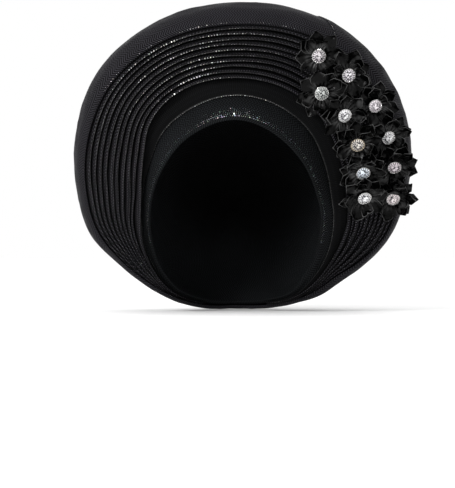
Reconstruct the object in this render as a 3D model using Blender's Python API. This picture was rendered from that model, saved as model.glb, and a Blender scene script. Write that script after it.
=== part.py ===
"""Tied gele head tie: a fitted cap with a brow band, one plain fold, a pleated fan, a rolled hood that
closes behind the head, and a spray of ribbon flowers with cut stones.

Metres, +Z up. The wearer faces -Y, and +X is on the right of someone who faces the wearer. The origin
is the highest point inside the cap, where it rests on the crown of the head.
All cloth is worked out in sections: half planes that turn about the fold axis, a line along Y that runs
through the middle of the head. A section's angle is 0 at +X, 90 at the top and -90 at the nape.
"""
import math

import bmesh
import bpy
from mathutils import Matrix, Vector
from mathutils.bvhtree import BVHTree

# Head hollow
HEAD_WIDTH = 0.150
HEAD_LENGTH = 0.192
CROWN_RISE = 0.095  # from the fold axis up to the crown
NAPE_DROP = 0.125  # from the fold axis down to where the head's curve would close

# Cloth in front, from the face opening outwards; widths are measured at the top
OPENING_RADIUS = 0.0575
BROW_WIDTH = 0.0197
FOLD_WIDTH = 0.0136
FAN_WIDTH = 0.0463
HOOD_WIDTH = 0.0219

# How far each part of the cloth leads back from the one inside it, at the top
FACE_DEPTH = 0.076  # the opening's edge lies this far in front of the fold axis
BROW_DEPTH = 0.020
FOLD_DEPTH = 0.003
FAN_DEPTH = 0.027
HOOD_DEPTH = 0.040

# Cloth thickness
CAP_WALL = 0.0016
FOLD_WALL = 0.0020
FAN_WALL = 0.0014
HOOD_WALL = 0.0016
LAYER_GAP = 0.0008
MOST_LEAN = 2.2  # where cloth runs steeply back, walls and gaps grow along Y by up to this factor

# Fitted cap
CAP_ROWS = (0.86, 0.71, 0.53, 0.35, 0.16)  # shares of the way from the back of the head to the band
CAP_REST = 0.72  # the cap lies on the head from the back up to this share

# Fold and pleats
FOLD_SWELL = 0.12  # share of the fold's width
FAN_SWELL = 0.05  # share of the fan's width
PLEAT_COUNT = 10
PLEAT_RISE = 0.0028
PLEAT_MOST_RISE = 0.75  # share of a pleat's width
PLEAT_LINES = ((0.06, 1.0), (0.90, 0.0))  # share of a pleat's width, share of its rise
TUCK = 0.0060  # how far a layer runs on under the next one
TUCK_SHARE = 0.3  # the tuck under a narrow fan, as a share of the fan's width
HOOD_TUCK = 0.6  # how far the fan runs under the hood's first row

# Back of the hood
NAPE_GATHER_HEIGHT = 0.055  # the gathers meet this far below the fold axis
NAPE_GATHER_DEPTH = 0.102
BACK_PUFF = 0.022
BACK_FULLNESS = 2.3  # exponent of the back's curve: 2 is an ellipse, more is squarer
GATHER_COUNT = 15
GATHER_RISE = 0.0018

# Flowers and stones
FLOWER_RADIUS = 0.0195
FLAT_SHARE = 0.5  # the middle of a flower clears the cloth out to this share of its radius
PETAL_COUNT = 7
PETAL_WALL = 0.0010
PETAL_WIDTH = 0.0100
PETAL_SHOULDER = 0.60  # a petal is widest at this share of the flower's radius
PETAL_RIB = 0.56
PETAL_STEPS = 12  # a crowded petal is drawn in by this many steps
PETAL_DROOP = 0.0030
PETAL_FLUTE = 0.0014  # how far a petal's middle lies below its edges
PETAL_SEAT = 0.0020  # least height of a petal over the cloth
HUB_RADIUS = 0.0073
STEM_TAPER = 0.6
STEM_GAP = 0.0008
STONE_RADIUS = 0.0050
STONE_TABLE = 0.0031
STONE_BASE = 0.0038
STONE_PAVILION = 0.0012
STONE_CROWN = 0.0018
STONE_SIDES = 10
CUP_WALL = 0.0005
CUP_FLOOR = 0.0006
SEAT_GAP = 0.0003
HEIGHT_RINGS = 6  # the cloth's height is felt at this many rings of points
HEIGHT_STEPS = 20

CREASE_ANGLE = 40

# Sections
SECTION_STEP = 6
FIRST_SECTION = -54
LAST_SECTION = 234

# Rows of the hood from its folded edge, at -90, over the rim, at 0, to the gathers behind, at 90
HOOD_TURNS = (-90, -70, -47, -22, 0, 16, 32, 48, 62, 76)

# Face and fold plan, a row for each angle. Widths are shares of the sizes above, step by step outwards.
PLAN_COLUMNS = ("angle", "opening", "brow", "fold", "fan", "hood")
PLAN = (
    (-90, 1.60, 0.08, 0.02, 0.02, 0.14),
    (-75, 1.63, 0.10, 0.04, 0.03, 0.14),
    (-60, 1.66, 0.14, 0.10, 0.06, 0.15),
    (-50, 1.55, 0.34, 0.24, 0.14, 0.25),
    (-40, 1.49, 0.36, 0.33, 0.22, 0.33),
    (-30, 1.38, 0.49, 0.49, 0.39, 0.39),
    (-15, 1.27, 0.48, 0.83, 0.70, 0.37),
    (0, 1.14, 0.57, 0.90, 0.95, 0.42),
    (20, 1.04, 0.78, 0.95, 1.07, 0.69),
    (40, 0.98, 1.03, 1.00, 1.07, 0.92),
    (60, 0.97, 1.07, 1.07, 1.09, 0.93),
    (90, 1.00, 1.00, 1.00, 1.00, 1.00),
    (120, 1.00, 0.95, 1.17, 0.97, 0.90),
    (140, 1.03, 0.86, 0.94, 1.00, 0.80),
    (160, 1.08, 0.59, 0.45, 1.07, 0.59),
    (180, 1.18, 0.38, 0.12, 1.00, 0.42),
    (195, 1.28, 0.30, 0.08, 0.83, 0.36),
    (210, 1.40, 0.31, 0.08, 0.50, 0.20),
    (220, 1.50, 0.22, 0.10, 0.31, 0.17),
    (230, 1.58, 0.18, 0.12, 0.15, 0.16),
    (240, 1.64, 0.12, 0.10, 0.06, 0.15),
    (255, 1.63, 0.10, 0.04, 0.03, 0.14),
)

# Depths, a row for each angle away from the top, as shares of the depths above, step by step backwards.
DEPTH_COLUMNS = ("from_top", "face", "brow", "fold", "fan", "hood")
DEPTHS = (
    (0, 1.00, 1.00, 0.50, 1.00, 1.00),
    (30, 0.97, 1.15, 0.10, 0.93, 0.95),
    (50, 0.91, 1.10, 0.00, 0.96, 0.87),
    (70, 0.79, 0.90, 0.20, 1.05, 0.74),
    (90, 0.60, 0.50, 0.40, 1.09, 0.63),
    (105, 0.40, 0.25, 0.40, 1.01, 0.50),
    (120, 0.20, 0.18, 0.40, 0.79, 0.37),
    (130, 0.07, 0.15, 0.40, 0.63, 0.27),
    (140, -0.06, 0.15, 0.40, 0.46, 0.22),
    (150, -0.24, 0.15, 0.40, 0.38, 0.18),
    (165, -0.64, 0.12, 0.40, 0.33, 0.14),
    (180, -0.80, 0.10, 0.40, 0.32, 0.12),
)

# Flowers, a row each: angle of the section, place across the fan (0 at its inner edge, 1 at the hood),
# lean away from straight forward with its heading, and turn of the petals.
FLOWER_COLUMNS = ("angle", "across", "lean", "heading", "turn")
FLOWERS = (
    (60, 0.75, 16, -60, 8),
    (48, 0.80, 22, -50, 30),
    (51, 0.29, 20, -65, 18),
    (34, 0.85, 28, -50, 40),
    (38, 0.33, 30, -57, 5),
    (22, 0.83, 32, -50, 22),
    (24, 0.35, 28, -80, 12),
    (12, 0.30, 36, -72, 35),
    (13, 0.88, 36, -80, 26),
    (1, 0.28, 40, -70, 15),
    (1, 0.85, 38, -78, 44),
)


def table_column(rows, names, name):
    """The points (key, value) of one column, the key being the first column."""
    at = names.index(name)
    return [(row[0], row[at]) for row in rows]


def smooth_through(points, key, period=None):
    """The value at a key on a smooth curve through the points, which repeats if it has a period."""
    if period:
        first, last = points[0], points[-1]
        key = first[0] + (key - first[0]) % period
        points = [(last[0] - period, last[1])] + list(points) + [(first[0] + period, first[1])]
        points.append((points[2][0] + period, points[2][1]))
    start = max(i for i, point in enumerate(points[:-1]) if point[0] <= key or i == 0)
    before, after = points[start], points[start + 1]
    span = after[0] - before[0]
    far_before = points[max(start - 1, 0)]
    far_after = points[min(start + 2, len(points) - 1)]
    rise_in = (after[1] - far_before[1]) / (after[0] - far_before[0]) * span
    rise_out = (far_after[1] - before[1]) / (far_after[0] - before[0]) * span
    t = (key - before[0]) / span
    return (
        before[1] * (2 * t**3 - 3 * t**2 + 1)
        + rise_in * (t**3 - 2 * t**2 + t)
        + after[1] * (3 * t**2 - 2 * t**3)
        + rise_out * (t**3 - t**2)
    )


def plan_share(name, angle):
    return smooth_through(table_column(PLAN, PLAN_COLUMNS, name), angle, 360)


def depth_share(name, angle):
    from_top = abs((angle - 90 + 180) % 360 - 180)
    points = table_column(DEPTHS, DEPTH_COLUMNS, name)
    mirrored = [(-points[1][0], points[1][1])] + points + [(360 - points[-2][0], points[-2][1])]
    return smooth_through(mirrored, from_top)


def place(angle, radius, depth):
    """The point of a section at a radius from the fold axis and a depth along it."""
    turn = math.radians(angle)
    return Vector((radius * math.cos(turn), depth, radius * math.sin(turn) - CROWN_RISE))


def lean_of(run, rise):
    """The factor by which a wall across a slope grows when it is measured along Y."""
    return min(math.hypot(1, rise / run), MOST_LEAN)


def rings(angle):
    """Radius and depth of every visible edge in one section, from the face outwards."""
    opening = OPENING_RADIUS * plan_share("opening", angle)
    brow = opening + BROW_WIDTH * plan_share("brow", angle)
    fold = brow + FOLD_WIDTH * plan_share("fold", angle)
    fan = fold + FAN_WIDTH * plan_share("fan", angle)
    hood = fan + HOOD_WIDTH * plan_share("hood", angle)
    face_y = -FACE_DEPTH * depth_share("face", angle)
    brow_y = face_y + BROW_DEPTH * depth_share("brow", angle)
    fold_edge_y = brow_y - LAYER_GAP - FOLD_WALL
    fold_y = fold_edge_y + FOLD_DEPTH * depth_share("fold", angle)
    fan_rise = FAN_DEPTH * depth_share("fan", angle)
    lean = lean_of(fan - fold, fan_rise)
    fan_back_y = fold_y - LAYER_GAP * lean
    fan_end_y = fan_back_y + fan_rise
    hood_y = fan_end_y - (FAN_WALL + LAYER_GAP) * lean - HOOD_WALL
    rim_y = hood_y + HOOD_DEPTH * depth_share("hood", angle)
    return {
        "opening": (opening, face_y),
        "brow": (brow, brow_y),
        "fold_edge": (brow, fold_edge_y),
        "fold": (fold, fold_y),
        "fan_back": (fold, fan_back_y),
        "fan_end": (fan, fan_end_y),
        "hood": (fan, hood_y),
        "rim": (hood, rim_y),
        "lean": lean,
    }


def head_reach(angle, polar):
    """Distance from the middle of the head to its surface; polar is 0 at the back and 90 at the sides."""
    turn, tip = math.radians(angle), math.radians(polar)
    across = math.sin(tip) * math.cos(turn) / (HEAD_WIDTH / 2)
    along = math.cos(tip) / (HEAD_LENGTH / 2)
    height = CROWN_RISE if math.sin(turn) > 0 else NAPE_DROP
    up = math.sin(tip) * math.sin(turn) / height
    return 1 / math.sqrt(across**2 + along**2 + up**2)


def ease(share):
    share = min(max(share, 0.0), 1.0)
    return share * share * (3 - 2 * share)


def closed_angles():
    return range(-90, 270, SECTION_STEP)


def strip_angles():
    return range(FIRST_SECTION, LAST_SECTION + 1, SECTION_STEP)


def grid_normals(rows, pole):
    """Outward normals of a bowl given as closed rings of points, edge first, and the pole behind them."""
    count = len(rows[0])
    result = []
    for i, row in enumerate(rows):
        ahead = rows[i + 1] if i + 1 < len(rows) else [pole] * count
        behind = rows[i - 1] if i else row
        result.append(
            [
                (row[(j + 1) % count] - row[j - 1]).cross(ahead[j] - behind[j]).normalized() * -1
                for j in range(count)
            ]
        )
    return result


def new_object(name, vertices, faces, material):
    """A mesh object in the scene, its faces turned outwards."""
    mesh = bpy.data.meshes.new(name)
    mesh.from_pydata([tuple(v) for v in vertices], [], faces)
    form = bmesh.new()
    form.from_mesh(mesh)
    bmesh.ops.recalc_face_normals(form, faces=form.faces)
    bmesh.ops.triangulate(form, faces=form.faces)
    form.to_mesh(mesh)
    form.free()
    mesh.shade_smooth()
    mesh.set_sharp_from_angle(angle=math.radians(CREASE_ANGLE))
    mesh.materials.append(material)
    made = bpy.data.objects.new(name, mesh)
    bpy.context.scene.collection.objects.link(made)
    return made


def bowl(name, outer, outer_pole, inner, inner_pole, material):
    """A shell from two sets of closed rings, edge first, each closed by its pole."""
    count = len(outer[0])
    vertices = [v for row in outer for v in row] + [outer_pole]
    shift = len(vertices)
    vertices += [v for row in inner for v in row] + [inner_pole]
    faces = []
    for base, rows in ((0, outer), (shift, inner)):
        for i in range(len(rows) - 1):
            for j in range(count):
                k = (j + 1) % count
                faces.append((base + i * count + j, base + i * count + k,
                              base + (i + 1) * count + k, base + (i + 1) * count + j))
        last = base + (len(rows) - 1) * count
        for j in range(count):
            faces.append((last + j, last + (j + 1) % count, last + count))
    for j in range(count):
        k = (j + 1) % count
        faces.append((j, k, shift + k, shift + j))
    return new_object(name, vertices, faces, material)


def strip(name, sections, material):
    """A solid swept through equal closed sections, flat at both ends."""
    count = len(sections[0])
    vertices = [v for section in sections for v in section]
    faces = [tuple(range(count)), tuple(range(len(vertices) - count, len(vertices)))]
    for i in range(len(sections) - 1):
        for j in range(count):
            k = (j + 1) % count
            faces.append((i * count + j, i * count + k, (i + 1) * count + k, (i + 1) * count + j))
    return new_object(name, vertices, faces, material)


def plain_material(name, colour, roughness, metallic=0.0):
    material = bpy.data.materials.new(name)
    material.use_nodes = True
    shader = material.node_tree.nodes["Principled BSDF"]
    shader.inputs["Base Color"].default_value = (*colour, 1.0)
    shader.inputs["Roughness"].default_value = roughness
    shader.inputs["Metallic"].default_value = metallic
    return material


def make_cap(material):
    """The fitted cap: its front edge frames the face, its brow band is the strip up to the fold."""
    edge, middle, band = [], [], []
    for angle in closed_angles():
        ring = rings(angle)
        (open_r, open_y), (brow_r, brow_y) = ring["opening"], ring["brow"]
        edge.append(place(angle, open_r - CAP_WALL / 2, open_y + CAP_WALL))
        middle.append(place(angle, (open_r + brow_r) / 2 - CAP_WALL / 3, (open_y + brow_y) / 2 + CAP_WALL / 3))
        band.append(place(angle, brow_r - CAP_WALL, brow_y + CAP_WALL))
    inner = [edge, middle, band]
    for share in CAP_ROWS:
        row = []
        for angle in closed_angles():
            brow_r, brow_y = rings(angle)["brow"]
            polar_end = math.degrees(math.atan2(brow_r - CAP_WALL, brow_y + CAP_WALL))
            stand_off = math.hypot(brow_r - CAP_WALL, brow_y + CAP_WALL) - head_reach(angle, polar_end)
            polar = polar_end * share
            reach = head_reach(angle, polar) + stand_off * ease((share - CAP_REST) / (1 - CAP_REST))
            tip = math.radians(polar)
            row.append(place(angle, reach * math.sin(tip), reach * math.cos(tip)))
        inner.append(row)
    inner_pole = place(0, 0, HEAD_LENGTH / 2)
    normals = grid_normals(inner, inner_pole)
    outer = [[v + n * CAP_WALL for v, n in zip(row, row_normals)] for row, row_normals in zip(inner, normals)]
    outer_pole = inner_pole + Vector((0, CAP_WALL, 0))
    return bowl("head_cap", outer, outer_pole, inner, inner_pole, material)


def fan_slope(ring):
    return (ring["fan_end"][1] - ring["fan_back"][1]) / (ring["fan_end"][0] - ring["fan_back"][0])


def make_fold(material):
    """The plain fold between the brow band and the fan, turned under at its inner edge."""
    sections = []
    for angle in strip_angles():
        ring = rings(angle)
        edge_r, edge_y = ring["fold_edge"]
        end_r, end_y = ring["fold"]
        tail = min(TUCK, TUCK_SHARE * (ring["fan_end"][0] - end_r))
        tail_y = end_y + tail * fan_slope(ring)
        swell = FOLD_SWELL * (end_r - edge_r)
        sections.append(
            [
                place(angle, edge_r - FOLD_WALL / 6, edge_y + FOLD_WALL / 2),
                place(angle, edge_r, edge_y),
                place(angle, (edge_r + end_r) / 2, (edge_y + end_y) / 2 - swell),
                place(angle, end_r, end_y),
                place(angle, end_r + tail, tail_y),
                place(angle, end_r + tail, tail_y + FOLD_WALL),
                place(angle, end_r, end_y + FOLD_WALL),
                place(angle, edge_r, edge_y + FOLD_WALL),
            ]
        )
    return strip("front_fold", sections, material)


def fan_line(ring, share):
    """A point of the fan's back between its inner edge and the hood; it swells a little to the front."""
    (start_r, start_y), (end_r, end_y) = ring["fan_back"], ring["fan_end"]
    swell = FAN_SWELL * (end_r - start_r) * math.sin(math.pi * share)
    return start_r + (end_r - start_r) * share, start_y + (end_y - start_y) * share - swell


def make_fan(material):
    """The pleated fan: knife pleats whose folded edges face inwards, thick at the edge of each pleat."""
    sections = []
    for angle in strip_angles():
        ring = rings(angle)
        pitch = (ring["fan_end"][0] - ring["fan_back"][0]) / PLEAT_COUNT
        rise = min(PLEAT_RISE, PLEAT_MOST_RISE * pitch)
        wall = FAN_WALL * ring["lean"]
        front, back = [place(angle, *fan_line(ring, 0.0))], []
        front[0].y -= wall
        for pleat in range(PLEAT_COUNT):
            for across, height in PLEAT_LINES:
                share = (pleat + across) / PLEAT_COUNT
                radius, depth = fan_line(ring, share)
                front.append(place(angle, radius, depth - wall - rise * height))
        end_r, end_y = ring["fan_end"]
        hood_row = hood_point(angle, ring, HOOD_TURNS[1])
        hidden = HOOD_TUCK * (ring["rim"][0] - end_r) / HOOD_WIDTH
        under_hood = place(angle, end_r, hood_row.y).lerp(hood_row, hidden)
        under_hood.y += 1.5 * HOOD_WALL + LAYER_GAP * ring["lean"]
        front.append(place(angle, end_r, end_y - wall))
        front.append(under_hood)
        back.append(under_hood + Vector((0, wall, 0)))
        for pleat in range(PLEAT_COUNT, -1, -1):
            back.append(place(angle, *fan_line(ring, pleat / PLEAT_COUNT)))
        sections.append(front + back)
    return strip("pleated_fan", sections, material)


def hood_point(angle, ring, turn):
    """A point of the hood's outside. turn runs from -90 at the folded edge over 0 at the rim to 90 behind."""
    (edge_r, edge_y), (rim_r, rim_y) = ring["hood"], ring["rim"]
    step = math.radians(abs(turn))
    if turn <= 0:
        return place(angle, edge_r + (rim_r - edge_r) * math.cos(step), rim_y + (edge_y - rim_y) * math.sin(step))
    power = 2 / BACK_FULLNESS
    rim = place(angle, rim_r, rim_y)
    gather = Vector((0, NAPE_GATHER_DEPTH, -CROWN_RISE - NAPE_GATHER_HEIGHT))
    keep, gone = math.cos(step) ** power, math.sin(step) ** power
    top = (1 + math.sin(math.radians(angle))) / 2
    point = gather + (rim - gather) * keep
    point.y = rim_y + (NAPE_GATHER_DEPTH - rim_y) * gone + BACK_PUFF * top * math.sin(math.pi * keep)
    return point


def make_hood(material):
    """The plain last layer: it rolls over the fan's outer edge and closes behind the head."""
    rows = []
    for turn in HOOD_TURNS:
        rows.append([hood_point(angle, rings(angle), turn) for angle in closed_angles()])
    pole = Vector((0, NAPE_GATHER_DEPTH, -CROWN_RISE - NAPE_GATHER_HEIGHT))
    normals = grid_normals(rows, pole)
    outer, inner = [], []
    for turn, row, row_normals in zip(HOOD_TURNS, rows, normals):
        gathered = GATHER_RISE * math.sin(math.radians(max(turn, 0) * 2)) ** 2
        waves = [gathered * math.cos(math.radians(angle * GATHER_COUNT)) for angle in closed_angles()]
        outer.append([v + n * wave for v, n, wave in zip(row, row_normals, waves)])
        inner.append([v + n * (wave - HOOD_WALL) for v, n, wave in zip(row, row_normals, waves)])
    inner[0] = [v + Vector((0, HOOD_WALL, 0)) for v in outer[0]]
    inner_pole = pole - Vector((0, HOOD_WALL, 0))
    return bowl("outer_hood", outer, pole, inner, inner_pole, material)


def cloth_tree(objects):
    """One search tree over the faces of several cloth pieces."""
    vertices, faces = [], []
    for piece in objects:
        base = len(vertices)
        vertices += [v.co.copy() for v in piece.data.vertices]
        faces += [tuple(base + i for i in face.vertices) for face in piece.data.polygons]
    return BVHTree.FromPolygons(vertices, faces)


def cloth_height(tree, point, axis, radius):
    """Height along the axis, over the point, of the highest cloth within a radius round it."""
    side = axis.orthogonal().normalized()
    around = axis.cross(side)
    heights = []
    for ring in range(HEIGHT_RINGS):
        for step in range(HEIGHT_STEPS):
            turn = 2 * math.pi * step / HEIGHT_STEPS
            out = radius * ring / (HEIGHT_RINGS - 1)
            start = point + (side * math.cos(turn) + around * math.sin(turn)) * out
            hit = tree.ray_cast(start + axis * FAN_WIDTH, -axis)[0]
            if hit:
                heights.append((hit - start).dot(axis))
    return max(heights) if heights else -FAN_WIDTH


def flower_frames(tree):
    """Where each flower sits: a matrix with its Z along the flower's axis and its origin at the petals."""
    frames = []
    for row in FLOWERS:
        spec = dict(zip(FLOWER_COLUMNS, row))
        radius, depth = fan_line(rings(spec["angle"]), spec["across"])
        start = place(spec["angle"], radius, depth - FAN_WIDTH)
        seat = tree.ray_cast(start, Vector((0, 1, 0)))[0]
        lean, heading = math.radians(spec["lean"]), math.radians(spec["heading"])
        axis = Vector(
            (math.sin(lean) * math.cos(heading), -math.cos(lean), math.sin(lean) * math.sin(heading))
        )
        side = Vector((0, 0, 1)).cross(axis).normalized()
        facing = Matrix((side, axis.cross(side), axis)).transposed().to_4x4()
        facing = facing @ Matrix.Rotation(math.radians(spec["turn"]), 4, "Z")
        lift = cloth_height(tree, seat, axis, FLOWER_RADIUS * FLAT_SHARE) + PETAL_SEAT
        frames.append(Matrix.Translation(seat + axis * lift) @ facing)
    return frames


def in_own_room(point, frame, frames):
    """Whether a point of a flower lies on its own side of the planes half way to the other flowers."""
    for other in frames:
        if other is not frame:
            between = other.translation - frame.translation
            if (point - frame.translation).dot(between.normalized()) > between.length / 2 - SEAT_GAP:
                return False
    return True


def make_flower(name, frame, frames, tree, material):
    """A ribbon flower: a ring of pointed petals round a flat middle, on a stem that ends at the cloth."""
    axis = frame.to_3x3().col[2]

    def petal_point(turn, share, aside, drop):
        """A point on the underside of a petal: over the cloth, and drawn in where the next flower is."""
        along = Vector((math.cos(turn), math.sin(turn), 0)) * FLOWER_RADIUS * share
        across = Vector((-math.sin(turn), math.cos(turn), 0)) * aside
        for drawn_in in range(PETAL_STEPS):
            flat = (along + across).lerp(along.normalized() * HUB_RADIUS, drawn_in / PETAL_STEPS)
            point = frame @ flat
            height = max(-drop, cloth_height(tree, point, axis, PETAL_WIDTH / 2) + PETAL_SEAT)
            point += axis * height
            if in_own_room(point, frame, frames) and in_own_room(point + axis * PETAL_WALL, frame, frames):
                break
        return point

    step = 2 * math.pi / PETAL_COUNT
    middle, valleys, outline, ribs = frame.translation.copy(), [], [], []
    for petal in range(PETAL_COUNT):
        turn = step * petal
        valley = Vector((math.cos(turn - step / 2), math.sin(turn - step / 2), 0)) * HUB_RADIUS
        valleys.append(frame @ valley)
        left = petal_point(turn, PETAL_SHOULDER, -PETAL_WIDTH / 2, 0)
        tip = petal_point(turn, 1.0, 0, PETAL_DROOP)
        right = petal_point(turn, PETAL_SHOULDER, PETAL_WIDTH / 2, 0)
        outline.append((left, tip, right))
        ribs.append(petal_point(turn, PETAL_RIB, 0, PETAL_FLUTE))
    wall = axis * PETAL_WALL
    top = [middle] + valleys + [p for group in outline for p in group] + ribs
    count = len(top)
    vertices = [p + wall for p in top] + top
    stem = cloth_height(tree, middle, axis, HUB_RADIUS * STEM_TAPER) + STEM_GAP
    vertices += [middle.lerp(valley, STEM_TAPER) + axis * stem for valley in valleys]
    faces = []
    for petal in range(PETAL_COUNT):
        after = (petal + 1) % PETAL_COUNT
        start, end = 1 + petal, 1 + after
        left = 1 + PETAL_COUNT + 3 * petal
        rib = 1 + 4 * PETAL_COUNT + petal
        edge = (start, left, left + 1, left + 2, end)
        for a, b in zip(edge, edge[1:]):
            faces.append((a, b, rib))
            faces.append((b + count, a + count, rib + count))
            faces.append((b, a, a + count, b + count))
        faces += [(end, start, rib), (0, start, end), (start + count, end + count, rib + count)]
        seat, next_seat = 2 * count + petal, 2 * count + after
        faces.append((start + count, seat, next_seat, end + count))
    faces.append(tuple(2 * count + petal for petal in range(PETAL_COUNT)))
    vertices.pop(count)
    faces = [tuple(i - 1 if i > count else i for i in face) for face in faces]
    return new_object(name, vertices, faces, material)


def turned(name, frame, profile, sides, material):
    """A solid turned about the frame's Z from a closed profile of (radius, height) that ends on the axis."""
    vertices, faces = [], []
    for radius, height in profile:
        for side in range(sides):
            turn = 2 * math.pi * side / sides
            vertices.append(frame @ Vector((radius * math.cos(turn), radius * math.sin(turn), height)))
    for i in range(len(profile) - 1):
        for j in range(sides):
            k = (j + 1) % sides
            faces.append((i * sides + j, i * sides + k, (i + 1) * sides + k, (i + 1) * sides + j))
    faces.append(tuple(range(sides)))
    faces.append(tuple(range(len(vertices) - sides, len(vertices))))
    return new_object(name, vertices, faces, material)


def make_cup(name, frame, material):
    """The metal cup that holds a stone: a dish with a floor and a flared wall."""
    low = PETAL_WALL + SEAT_GAP
    floor = low + CUP_FLOOR
    lip = floor + SEAT_GAP + STONE_PAVILION
    room = STONE_BASE + SEAT_GAP
    rim = STONE_RADIUS + 1.5 * SEAT_GAP
    profile = (
        (room, floor),
        (rim, lip),
        (rim + CUP_WALL, lip),
        (room + CUP_WALL / 2, low),
    )
    return turned(name, frame, profile, STONE_SIDES, material)


def make_stone(name, frame, material):
    """A round cut stone with a flat base, a girdle edge, a ring of crown facets and a table."""
    base = PETAL_WALL + 2 * SEAT_GAP + CUP_FLOOR
    girdle = base + STONE_PAVILION
    profile = ((STONE_BASE, base), (STONE_RADIUS, girdle), (STONE_TABLE, girdle + STONE_CROWN))
    return turned(name, frame, profile, STONE_SIDES, material)


def make_spray(cloth):
    """All flowers, each with its cup and stone."""
    ribbon = plain_material("ribbon_satin", (0.012, 0.012, 0.013), 0.35)
    silver = plain_material("silver_cup", (0.75, 0.75, 0.77), 0.25, 1.0)
    crystal = plain_material("crystal", (0.90, 0.91, 0.94), 0.05)
    tree = cloth_tree(cloth)
    frames = flower_frames(tree)
    for number, frame in enumerate(frames, 1):
        make_flower(f"flower_{number:02d}", frame, frames, tree, ribbon)
        make_cup(f"stone_cup_{number:02d}", frame, silver)
        make_stone(f"stone_{number:02d}", frame, crystal)


def main():
    for old in list(bpy.data.objects):
        bpy.data.objects.remove(old, do_unlink=True)
    cap_cloth = plain_material("cap_cloth", (0.010, 0.010, 0.012), 0.75)
    fold_cloth = plain_material("fold_cloth", (0.012, 0.012, 0.015), 0.70)
    fan_cloth = plain_material("fan_cloth", (0.014, 0.013, 0.018), 0.60)
    hood_cloth = plain_material("hood_cloth", (0.020, 0.020, 0.023), 0.70)
    cap = make_cap(cap_cloth)
    fold = make_fold(fold_cloth)
    fan = make_fan(fan_cloth)
    hood = make_hood(hood_cloth)
    make_spray([cap, fold, fan, hood])


main()
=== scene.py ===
"""The looks of a tied gele head tie: woven near-black cloth in a fitted cap, a plain fold, a pleated fan and
a rolled hood, with glitter thread on the pleat edges and a spray of satin ribbon flowers with cut stones.

Metres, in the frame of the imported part: +Z up, the wearer faces -Y. All cloth is worked out in sections,
half planes that turn about a line along Y through the middle of the head: angle 0 at +X, 90 at the top.
A row of cloth is a list of points, one in each section, and a sheet of cloth is a list of rows.
"""
import functools
import math
import random
from collections import namedtuple

import bmesh
import bpy
from mathutils import Matrix, Vector, noise


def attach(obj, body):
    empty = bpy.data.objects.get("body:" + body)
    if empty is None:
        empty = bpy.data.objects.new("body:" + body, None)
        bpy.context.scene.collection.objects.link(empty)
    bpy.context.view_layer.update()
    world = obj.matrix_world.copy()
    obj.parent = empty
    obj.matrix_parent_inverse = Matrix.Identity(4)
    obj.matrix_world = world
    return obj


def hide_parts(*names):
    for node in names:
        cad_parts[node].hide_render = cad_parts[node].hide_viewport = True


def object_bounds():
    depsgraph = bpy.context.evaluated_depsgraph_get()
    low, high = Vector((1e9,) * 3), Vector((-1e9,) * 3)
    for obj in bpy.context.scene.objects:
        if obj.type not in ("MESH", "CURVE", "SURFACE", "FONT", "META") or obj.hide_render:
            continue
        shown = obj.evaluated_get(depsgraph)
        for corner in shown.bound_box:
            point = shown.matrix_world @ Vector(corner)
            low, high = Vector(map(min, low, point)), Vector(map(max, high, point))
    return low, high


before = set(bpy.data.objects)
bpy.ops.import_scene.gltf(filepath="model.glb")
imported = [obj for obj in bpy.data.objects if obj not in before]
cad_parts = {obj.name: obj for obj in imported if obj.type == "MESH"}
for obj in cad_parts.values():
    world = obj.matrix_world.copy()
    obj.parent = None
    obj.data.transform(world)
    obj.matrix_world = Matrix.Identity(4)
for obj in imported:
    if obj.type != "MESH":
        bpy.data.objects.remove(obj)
cad_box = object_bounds()

# Camera: level, in front of the face
CAMERA_PLACE = (-0.007, -1.62, -0.137)
VIEW_WIDTH = 0.3731  # metres seen across the picture at the distance below
VIEW_DISTANCE = 1.6

# Studio: lamps with their place, size and power, and what they are turned to
LAMPS = (
    ("key", (-1.3, -1.3, 0.65), 0.6, 30.0),
    ("fill", (1.5, -1.2, 0.2), 1.2, 2.0),
    ("top", (0.1, 0.2, 1.6), 1.2, 2.0),
)
LAMP_AIM = Vector((0, -0.02, -0.06))
FLOOR_HALF = 6.0
FLOOR_GAP = 0.001

# Sizes that the solids share
CROWN_RISE = 0.095
NAPE_DROP = 0.125
HEAD_WIDTH = 0.150
HEAD_LENGTH = 0.192
OPENING_RADIUS = 0.0575
BROW_WIDTH, FOLD_WIDTH, FAN_WIDTH, HOOD_WIDTH = 0.0197, 0.0136, 0.0463, 0.0219
FACE_DEPTH, BROW_DEPTH, FOLD_DEPTH, FAN_DEPTH, HOOD_DEPTH = 0.076, 0.020, 0.003, 0.027, 0.040
CAP_WALL, FOLD_WALL, FAN_WALL, HOOD_WALL = 0.0016, 0.0020, 0.0014, 0.0016
LAYER_GAP = 0.0008
MOST_LEAN = 2.2  # where cloth runs steeply back, walls and gaps grow along Y by up to this factor
NAPE_GATHER = Vector((0, 0.102, -0.150))
BACK_PUFF = 0.022
BACK_FULLNESS = 2.3  # 2 makes the back an ellipse in section, more makes it squarer
PLEAT_COUNT = 10
STONE_RADIUS = 0.0050

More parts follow.
